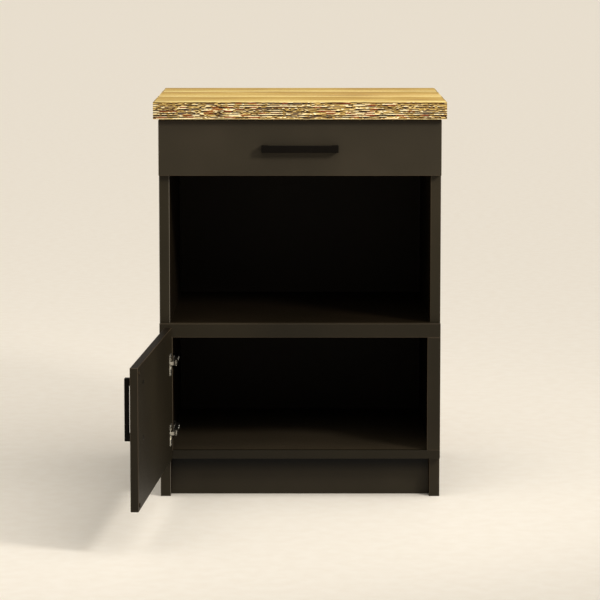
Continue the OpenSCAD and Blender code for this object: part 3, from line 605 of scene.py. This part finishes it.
def copy_of(node, turn=0.0):
    """The solid's mesh, merged into faces and turned about Z so that its boards stand square."""
    bm = bmesh.new()
    bm.from_mesh(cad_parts[node].data)
    bmesh.ops.remove_doubles(bm, verts=bm.verts, dist=MERGE)
    bmesh.ops.dissolve_limit(bm, angle_limit=SAME_PLANE, verts=bm.verts, edges=bm.edges)
    bmesh.ops.rotate(bm, matrix=Matrix.Rotation(turn, 3, "Z"), verts=bm.verts)
    return bm


def corners(points):
    """The lowest and the highest corner of the box round some points."""
    return [Vector([end(v.co[axis] for v in points) for axis in range(3)]) for end in (min, max)]


def round_edges(bm, edges, radius, segments=3):
    """Rounds the given edges."""
    bmesh.ops.bevel(bm, geom=edges, offset=radius, offset_type="OFFSET", segments=segments,
                    profile=0.5, affect="EDGES", material=-1, clamp_overlap=True)


def outer_edges(bm):
    """The edges that lie on two sides of the box round the mesh."""
    low, high = corners(bm.verts)

    def sides(point):
        return {(axis, end) for axis in range(3) for end, corner in enumerate((low, high))
                if abs(point.co[axis] - corner[axis]) < FLAT}
    return [e for e in bm.edges if len(sides(e.verts[0]) & sides(e.verts[1])) > 1]


def sharp_edges(bm, longer_than):
    """Convex edges over a given length whose two faces meet squarely."""
    return [e for e in bm.edges if e.is_convex and e.calc_length() > longer_than
            and math.degrees(e.calc_face_angle(0.0)) > SQUARE]


# %% [markdown]
# ## From a mesh to a piece
#
# A piece stands for its solid, rides on the solid's body and has its place in its mesh. Its
# faces are shaded smooth, with sharp edges kept, and the Weighted Normal modifier makes large
# faces look flat right up to their rounded corners. More bevel segments would do that too, but
# they cost faces on every board.

# %% Make a piece
SHARP = math.radians(40.0)   # an edge whose faces differ by more than this stays sharp


def make_piece(name, bm, body, nodes, finishes, turn=0.0, even=True):
    """Turns a bmesh back, and makes it a piece that stands for its solids on their body."""
    bmesh.ops.rotate(bm, matrix=Matrix.Rotation(-turn, 3, "Z"), verts=bm.verts)
    mesh = bpy.data.meshes.new(name)
    for face in bm.faces:
        face.smooth = True
    bm.to_mesh(mesh)
    bm.free()
    mesh.set_sharp_from_angle(angle=SHARP)
    for finish in finishes:
        mesh.materials.append(finish)
    piece = put_in_scene(name, mesh)
    if even:
        shading = piece.modifiers.new("even_shading", "WEIGHTED_NORMAL")
        shading.keep_sharp = True
    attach(piece, body)
    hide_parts(*nodes)
    print(name, len(mesh.polygons), "faces")


def refinish(node, finish):
    """Gives a solid that keeps its own shape its finish."""
    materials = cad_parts[node].data.materials
    materials.clear()
    materials.append(finish)
    print(node, "->", finish.name)


# %% [markdown]
# ## Boards
#
# A laminated board is bare on its large faces and banded on its edges. After the bevel, every
# face is given the finish of the side it looks to. What looks neither along X, Y nor Z is a
# rounded corner of the band. Separate thin pieces for the bands would be closer to how a board
# is made, but their joints are too fine to be seen.

# %% Boards of the carcass
BAND_RADIUS = 0.0010         # rounding of a 1 to 2 mm plastic band
SQUARELY = 0.99              # a normal this long along an axis looks squarely to that side
LOOKS = {"left": (0, -1), "right": (0, 1), "front": (1, -1), "back": (1, 1), "under": (2, -1),
         "top": (2, 1)}      # for each side, the axis and its sign


def dressed_board(node, body, slot, face, turn=0.0, radius=BAND_RADIUS, corner=painted_highlight_corner,
                  **sides):
    """A board with rounded corners. sides gives other finishes by side, such as front or top."""
    bm = copy_of(node, turn)
    round_edges(bm, outer_edges(bm), radius)
    finishes = [face, corner] + list(dict.fromkeys(sides.values()))
    bm.normal_update()
    for f in bm.faces:
        axis = max(range(3), key=lambda i: abs(f.normal[i]))
        if abs(f.normal[axis]) < SQUARELY:
            f.material_index = 1
        else:
            facing = next(w for w, (a, s) in LOOKS.items() if a == axis and s * f.normal[axis] > 0)
            f.material_index = finishes.index(sides[facing]) if facing in sides else 0
    make_piece(node + "_board", bm, body, [node], finishes, turn)


# The left panel's corner takes the paler painted highlight.
for side, inward, corner in (("left", "right", glossy_painted_highlight_corner), ("right", "left", painted_highlight_corner)):
    dressed_board("side_panel_" + side, "root", "dark_panel", carcass_laminate, corner=corner,
                  front=band_plastic, back=raw_chipboard, under=raw_chipboard, top=raw_chipboard,
                  **{inward: painted_shade_laminate})
dressed_board("floor_panel", "root", "dark_panel", carcass_laminate,
              front=band_plastic, back=raw_chipboard, top=shelf_laminate)
dressed_board("middle_shelf", "root", "dark_panel", painted_shade_laminate,
              front=band_plastic, back=raw_chipboard)
for rail in ("drawer_divider", "front_stretcher", "back_stretcher"):
    dressed_board(rail, "root", "dark_inner", painted_shade_laminate,
                  front=band_plastic, back=raw_chipboard)
dressed_board("back_panel", "root", "back_board", painted_shade_laminate, radius=0.0003,
              back=raw_hardboard, left=raw_hardboard, right=raw_hardboard, top=raw_hardboard,
              under=raw_hardboard)
dressed_board("plinth_board", "root", "dark_frame", plinth_laminate,
              back=raw_chipboard, under=raw_chipboard)
for member in ("frame_top_rail", "frame_stile_left", "frame_stile_right"):
    dressed_board(member, "root", "dark_frame", frame_laminate)
# The bottom rail takes the darker copy, a painted shade, also on its corner, so it has no painted
# highlight.
dressed_board("frame_bottom_rail", "root", "dark_frame", low_rail_painted_shade_laminate,
              corner=low_rail_painted_shade_laminate)

# %% [markdown]
# ## Drawer and door boards
#
# The drawer front and the door are banded all round. The door stands open, so its copy is first
# turned square to the cabinet, rounded there and turned back. That way one recipe, which looks
# for the sides of a box, serves it too. The tray's walls are thinner and painted darker, a
# painted shade, with raw lower edges. The door's top edge gets the same painted shade.

# %% Boards of the drawer and the door
dressed_board("drawer_front", "drawer", "dark_front", front_laminate)
for wall in ("drawer_side_left", "drawer_side_right", "drawer_inner_front", "drawer_back"):
    dressed_board(wall, "drawer", "dark_inner", painted_shade_laminate,
                  top=band_plastic, under=raw_chipboard)
dressed_board("drawer_bottom", "drawer", "beech", drawer_base, radius=0.0004, corner=drawer_base)
# The door's top edge is painted darker, a painted shade.
dressed_board("door_panel", "door", "dark_frame", frame_laminate, turn=DOOR_TURN,
              top=painted_shade_laminate)

# %% [markdown]
# ## The worktop
#
# The core is a faced board: printed oak above, raw chipboard below and behind. Its edge strips
# are where the eye goes. The rough-sawn face of a strip is a fine grid whose points are pressed
# in by up to a millimetre along long, thin marks, as a saw leaves them, and its upper rim is
# ragged. Bump alone would leave the strip's outline straight. The same depth is kept on the
# points as the groove attribute, for the finish to read.

# %% Saw marks
GROOVE_DEPTH = 0.0011
RAGGED_BY = 0.0012               # how far the strip's upper rim dips in places
LONG_MARKS = (12.0, 520.0)       # marks in a metre, along the strip and up it
SHORT_MARKS = (32.0, 560.0)
THICK_AND_THIN = (9.0, 60.0)     # patches in which the marks lie closer
PATCH_WEIGHT = 0.15              # by how much
WAVER = (8.0, 20.0)              # and patches over which they bend
WAVER_BY = 0.0003
MARK_LEVEL = 0.26                # noise above this is a mark
MARK_STEEPNESS = 4.0             # and its sides are this steep
RIM_DIPS = 45.0                  # dips of the rim in a metre
DIP_STEEPNESS = 1.6


def noise_at(along, up, stretch, seed):
    """Noise about 0 on the strip, with stretch patches in a metre along it and up it."""
    return noise.noise(Vector((along * stretch[0], up * stretch[1], seed)))


def groove_at(along, up, seed):
    """How deep a saw mark is at a place on a strip, from 0 to 1."""
    up += WAVER_BY * noise_at(along, up, WAVER, seed)
    long_mark = noise_at(along, up, LONG_MARKS, seed)
    short_mark = noise_at(along, up, SHORT_MARKS, seed + 5.0)
    patch = noise_at(along, up, THICK_AND_THIN, seed + 9.0)
    level = max(long_mark, short_mark) + PATCH_WEIGHT * patch - MARK_LEVEL
    return max(0.0, min(1.0, level * MARK_STEEPNESS))


def rim_dip(along, seed):
    """How far the upper rim lies below the worktop's face there."""
    dip = DIP_STEEPNESS * noise.noise(Vector((along * RIM_DIPS, seed, 3.0)))
    return RAGGED_BY * max(0.0, min(1.0, dip))


print("saw marks on 1 m:", sum(groove_at(n / 1000, 0.83, 1.0) > 0.5 for n in range(1000)), "mm")

# %% Worktop and its strips
STRIP_CELLS = (0.0020, 0.0005)   # size of a grid cell along the strip and up it
UPPER_ROW = 0.499                # the unit grid's upper row of points lies above this
LOWER_RIM = 0.0009               # this much of the strip's lower rim is scraped clean


def strip_mesh(low, high, along, outward, seed):
    """A closed strip between two corners: it runs along one axis and its outward face is sawn."""
    across = 1 - along
    length, height = high[along] - low[along], high[2] - low[2]
    bm = bmesh.new()
    bmesh.ops.create_grid(bm, x_segments=round(length / STRIP_CELLS[0]),
                          y_segments=round(height / STRIP_CELLS[1]), size=0.5)
    groove = bm.verts.layers.float.new("groove")
    face_at = high[across] if outward > 0 else low[across]
    back_at = low[across] if outward > 0 else high[across]
    for v in bm.verts:
        place = Vector((0.0, 0.0, low[2] + (v.co.y + 0.5) * height))
        place[along] = low[along] + (v.co.x + 0.5) * length
        scraped = place.z <= low[2] + LOWER_RIM
        v[groove] = SCRAPED if scraped else groove_at(place[along], place[2], seed)
        place[across] = face_at - outward * GROOVE_DEPTH * max(0.0, v[groove])
        if v.co.y > UPPER_ROW:
            place.z -= rim_dip(place[along], seed)
        v.co = place
    border = [e for e in bm.edges if e.is_boundary]
    rim = bmesh.ops.extrude_edge_only(bm, edges=border)["geom"]
    for v in (g for g in rim if isinstance(g, bmesh.types.BMVert)):
        v.co[across] = back_at
        v[groove] = 0.0
    bmesh.ops.contextual_create(bm, geom=[g for g in rim if isinstance(g, bmesh.types.BMEdge)])
    bmesh.ops.recalc_face_normals(bm, faces=bm.faces)
    return bm


dressed_board("worktop", "root", "oak_top", oak_laminate, radius=0.0004, corner=oak_laminate,
              under=raw_chipboard, back=raw_chipboard, front=sawn_edge, left=sawn_edge,
              right=sawn_edge)

front_low, front_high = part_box("worktop_front_edge")
front_strip = strip_mesh(front_low, front_high, 0, -1, 1.0)
make_piece("worktop_front_strip", front_strip, "root", ["worktop_front_edge"],
           [sawn_edge], even=False)

ends_low, ends_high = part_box("worktop_end_edges")
core_low, core_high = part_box("worktop")
both_ends = strip_mesh(ends_low, Vector((core_low.x, ends_high.y, ends_high.z)), 1, -1, 40.0)
right_end = bpy.data.meshes.new("right_end")
right_bm = strip_mesh(Vector((core_high.x, ends_low.y, ends_low.z)), ends_high, 1, 1, 80.0)
right_bm.to_mesh(right_end)
right_bm.free()
both_ends.from_mesh(right_end)
make_piece("worktop_end_strips", both_ends, "root", ["worktop_end_edges"],
           [sawn_edge], even=False)

# %% [markdown]
# ## Handles
#
# Both handles are bent from one flat bar and coated after bending, so every corner is soft. A
# curve with a square profile could draw them anew, but the copy already has the two feet and
# the finger gap, and only needs its long edges rounded.

# %% Handles
def soft_metal(name, node, body, finish, radius, longer_than, turn=0.0, segments=3):
    """A copy of a metal part whose square outer edges are rounded."""
    bm = copy_of(node, turn)
    round_edges(bm, sharp_edges(bm, longer_than), radius, segments)
    make_piece(name, bm, body, [node], [finish], turn)


soft_metal("drawer_bar_handle", "drawer_handle", "drawer", black_coat,
           radius=0.001, longer_than=0.004)
soft_metal("door_bar_handle", "door_handle", "door", black_coat,
           radius=0.001, longer_than=0.004, turn=DOOR_TURN)

# %% [markdown]
# ## Screws and cams
#
# A screw's head is what shows of it. The head starts as a small grid. Its middle cells are
# pushed in for the cross, its border is bridged to a circle, and the circle is drawn down to
# make the rim and the shank. Cutting the cross out with a boolean would be simpler to say, but
# it leaves ragged triangles round the cut.

# %% A head and its shank
CROSS_CELLS = 6              # the grid in the middle of a head has so many cells each way
CROSS_DEPTH = 0.55           # of the head's height
CROSS_TAPER = 0.7            # the cross is this much narrower at its floor
LEVEL = 0.999                # a normal this upright is the grid's


def in_cross(face, radius):
    """Whether a face is a cell of the grid and lies in one of the cross's two arms."""
    near, far = sorted(abs(c) for c in face.calc_center_median()[:2])
    return abs(face.normal.z) > LEVEL and far < 0.5 * radius and near < radius / CROSS_CELLS


def fitting(radius, height, shank_radius, shank_length, dome, cross):
    """A head on the origin that looks along +Z, with its shank below it."""
    bm = bmesh.new()
    bmesh.ops.create_grid(bm, x_segments=CROSS_CELLS, y_segments=CROSS_CELLS, size=0.5 * radius)
    bmesh.ops.translate(bm, vec=(0.0, 0.0, height), verts=bm.verts)
    circle = bmesh.ops.create_circle(bm, segments=4 * CROSS_CELLS, radius=radius, cap_ends=False)
    bmesh.ops.translate(bm, vec=(0.0, 0.0, height * (1.0 - dome)), verts=circle["verts"])
    ring = [e for e in bm.edges if not e.link_faces]
    border = [e for e in bm.edges if e.is_boundary]
    bmesh.ops.bridge_loops(bm, edges=ring + border)
    if cross:
        arms = [f for f in bm.faces if in_cross(f, radius)]
        pushed = bmesh.ops.extrude_face_region(bm, geom=arms)["geom"]
        bmesh.ops.delete(bm, geom=arms, context="FACES_ONLY")
        floor_points = [g for g in pushed if isinstance(g, bmesh.types.BMVert)]
        bmesh.ops.translate(bm, vec=(0.0, 0.0, -CROSS_DEPTH * height), verts=floor_points)
        bmesh.ops.scale(bm, vec=(CROSS_TAPER, CROSS_TAPER, 1.0), verts=floor_points)
    edge = [e for e in bm.edges if e.is_boundary]
    for level, width in ((0.0, radius), (0.0, shank_radius), (-shank_length, shank_radius)):
        drawn = bmesh.ops.extrude_edge_only(bm, edges=edge)["geom"]
        edge = [g for g in drawn if isinstance(g, bmesh.types.BMEdge)]
        for v in (g for g in drawn if isinstance(g, bmesh.types.BMVert)):
            flat = Vector((v.co.x, v.co.y, 0.0)).normalized() * width
            v.co = (flat.x, flat.y, level)
    bmesh.ops.contextual_create(bm, geom=edge)
    bmesh.ops.recalc_face_normals(bm, faces=bm.faces)
    return bm


# %% [markdown]
# ## Finding each screw
#
# One solid holds many screws. Each is a separate island of its mesh, so the islands are walked
# one by one. The island's box gives the screw's middle, its longest side the direction, and
# the wider of its two ends is the head. Typing the places in again would be a second copy of
# them, and it would go wrong when a board moves.

# %% Islands, and a fitting on each
SHANK_SHARE = 0.98           # a shank is at most this share as wide as its head


def islands(bm):
    """The separate solids of a mesh, as lists of points."""
    left, found = set(bm.verts), []
    while left:
        group, queue = [], [left.pop()]
        while queue:
            v = queue.pop()
            group.append(v)
            near = {e.other_vert(v) for e in v.link_edges} & left
            left -= near
            queue += near
        found.append(group)
    return found


def widths_by_level(group, middle, axis):
    """For each level of an island along the axis, how far its points lie from the middle line."""
    widths = {}
    for v in group:
        away = v.co - middle
        away[axis] = 0.0
        level = round(v.co[axis], 5)
        widths[level] = max(widths.get(level, 0.0), away.length)
    return widths


def fittings(name, node, body, finish, turn=0.0, dome=0.35, cross=True, toward=None):
    """Sets one head and shank on each solid of the node, by that solid's own box."""
    source = copy_of(node, turn)
    result = bmesh.new()
    for group in islands(source):
        low, high = corners(group)
        middle, size = (low + high) / 2, high - low
        axis = max(range(3), key=lambda i: size[i]) if toward is None else toward
        widths = widths_by_level(group, middle, axis)
        levels = sorted(widths)
        head_high = widths[levels[-1]] >= widths[levels[0]]
        top, tip = (levels[-1], levels[0]) if head_high else (levels[0], levels[-1])
        radius, shank = widths[top], widths[tip]
        seat = [lv for lv in levels if abs(widths[lv] - radius) < FLAT and lv != top]
        under = (min(seat) if head_high else max(seat)) if seat else tip
        part = fitting(radius, abs(top - under), min(shank, radius * SHANK_SHARE),
                       max(abs(under - tip), FLAT), dome, cross)
        along = Vector((0.0, 0.0, 0.0))
        along[axis] = 1.0 if head_high else -1.0
        place = middle.copy()
        place[axis] = under
        pose = Matrix.Translation(place) @ along.to_track_quat("Z", "Y").to_matrix().to_4x4()
        bmesh.ops.transform(part, matrix=pose, verts=part.verts)
        mesh = bpy.data.meshes.new("one_fitting")
        part.to_mesh(mesh)
        part.free()
        result.from_mesh(mesh)
        bpy.data.meshes.remove(mesh)
    source.free()
    make_piece(name, result, body, [node], [finish], turn)


# %% [markdown]
# The cams are pale zinc discs in the undersides of the shelves, turned with a screwdriver, so
# they get a cross too. Nails have plain, slightly domed heads. Dowels and cam bolts stay inside
# the boards and keep their solids.

# %% Screws, cams and nails
SCREWS = (
    ("worktop_screws", "root", 0.0), ("drawer_box_screws", "drawer", 0.0),
    ("drawer_front_screws", "drawer", 0.0), ("runner_cabinet_screws", "root", 0.0),
    ("runner_drawer_screws", "drawer", 0.0), ("hinge_cup_screws", "door", DOOR_TURN),
    ("hinge_plate_screws", "root", 0.0), ("hinge_arm_screws", "root", 0.0))
for node, body, turn in SCREWS:
    fittings(node + "_heads", node, body, zinc_plate, turn)
for node, body, turn in (("drawer_handle_screws", "drawer", 0.0),
                         ("door_handle_screws", "door", DOOR_TURN)):
    fittings(node + "_heads", node, body, blackened_steel, turn)
fittings("cam_discs", "cam_locks", "root", zinc_plate, dome=0.04, toward=2)
fittings("nail_heads", "back_panel_nails", "root", zinc_plate, dome=0.5, cross=False)

# %% [markdown]
# ## Hinges
#
# A concealed hinge is pressed and bent from sheet, so its arm and its plate get soft edges. The
# cups keep nearly all of their solids' shape: only the crease down the far side of each is
# rounded. Pins and links are bare turned or stamped steel and keep their solids.

# %% Hinges
CREASE_ROUNDING = 0.006
CREASE_LENGTH = 0.001        # a shorter edge is no crease


def hinge_cup_pieces():
    """The cups, with the crease that runs down the far side of each rounded."""
    bm = copy_of("hinge_cups", DOOR_TURN)
    far_side = corners(bm.verts)[1].x

    def at_far_side(edge):
        a, b = (v.co for v in edge.verts)
        return abs(a.x - b.x) < FLAT and abs(a.z - b.z) < FLAT and abs(a.x - far_side) < FLAT
    creases = [e for e in bm.edges if e.calc_length() > CREASE_LENGTH and at_far_side(e)]
    round_edges(bm, creases, CREASE_ROUNDING, segments=6)
    make_piece("hinge_cup_shells", bm, "door", ["hinge_cups"], [nickel_painted_highlight],
               DOOR_TURN)


hinge_cup_pieces()
soft_metal("hinge_arm_bars", "hinge_arms", "root", nickel_painted_shade,
           radius=0.0008, longer_than=0.0035)
soft_metal("hinge_mounting_plates", "hinge_plates", "root", nickel_plate,
           radius=0.0006, longer_than=0.0035)
for node in ("hinge_links", "hinge_cup_pins", "hinge_arm_pins"):
    refinish(node, nickel_plate)

# %% [markdown]
# ## Runners and hidden fittings
#
# A runner's members are rolled from strip, with small radii along their length and sharp cut
# ends, so only their long edges are rounded. The balls are polished steel and already round, and
# with the dowels and bolts they just get their finish.

# %% Runners, balls and hidden fittings
for side in ("left", "right"):
    for member, body in (("cabinet", "root"), ("middle", "runner_middles"), ("drawer", "drawer")):
        soft_metal(f"{member}_runner_{side}", f"runner_{member}_{side}", body,
                   galvanised, radius=0.0005, longer_than=0.3, segments=2)
for node, finish in (("runner_outer_balls", nickel_plate), ("runner_inner_balls", nickel_plate),
                     ("wood_dowels", beech_wood), ("cam_bolts", zinc_plate)):
    refinish(node, finish)

# %% [markdown]
# ## Felt pads
#
# Two small discs of felt are glued to the inside of the door, where it meets the frame. Felt
# has no crisp rim, so the rim of the face that looks at the frame is rounded.

# %% Felt pads
PAD_ROUNDING = 0.0005


def pad_pieces():
    """Two discs with a soft rim."""
    bm = copy_of("door_pads", DOOR_TURN)
    face = corners(bm.verts)[1].y
    rim = [e for e in sharp_edges(bm, 0.0) if all(abs(v.co.y - face) < FLAT for v in e.verts)]
    round_edges(bm, rim, PAD_ROUNDING)
    make_piece("felt_pads", bm, "door", ["door_pads"], [felt], DOOR_TURN)


pad_pieces()

# %% [markdown]
# ## The floor
#
# A plain pale floor carries the soft shadow. A curved studio backdrop would need a place behind
# the cabinet and show its bend from the side, so the floor is flat and far wider than the view,
# and no horizon shows in the picture.

# %% Floor
FLOOR_REACH = 150.0          # half the floor's width

floor_bm = bmesh.new()
bmesh.ops.create_grid(floor_bm, x_segments=1, y_segments=1, size=FLOOR_REACH)
floor_mesh = bpy.data.meshes.new("pale_floor")
floor_bm.to_mesh(floor_mesh)
floor_bm.free()
floor = put_in_scene("pale_floor", floor_mesh)
floor_finish, floor_tree, floor_shader = new_finish("pale_floor", Roughness=0.6,
                                                    Specular_IOR_Level=0.3)
clouds = patches(floor_tree, each_way(30.0))
connect(floor_tree, floor_shader, tones(floor_tree, clouds, (0.35, "#f5efe5"), (0.65, "#f8f3ea")))
floor_mesh.materials.append(floor_finish)
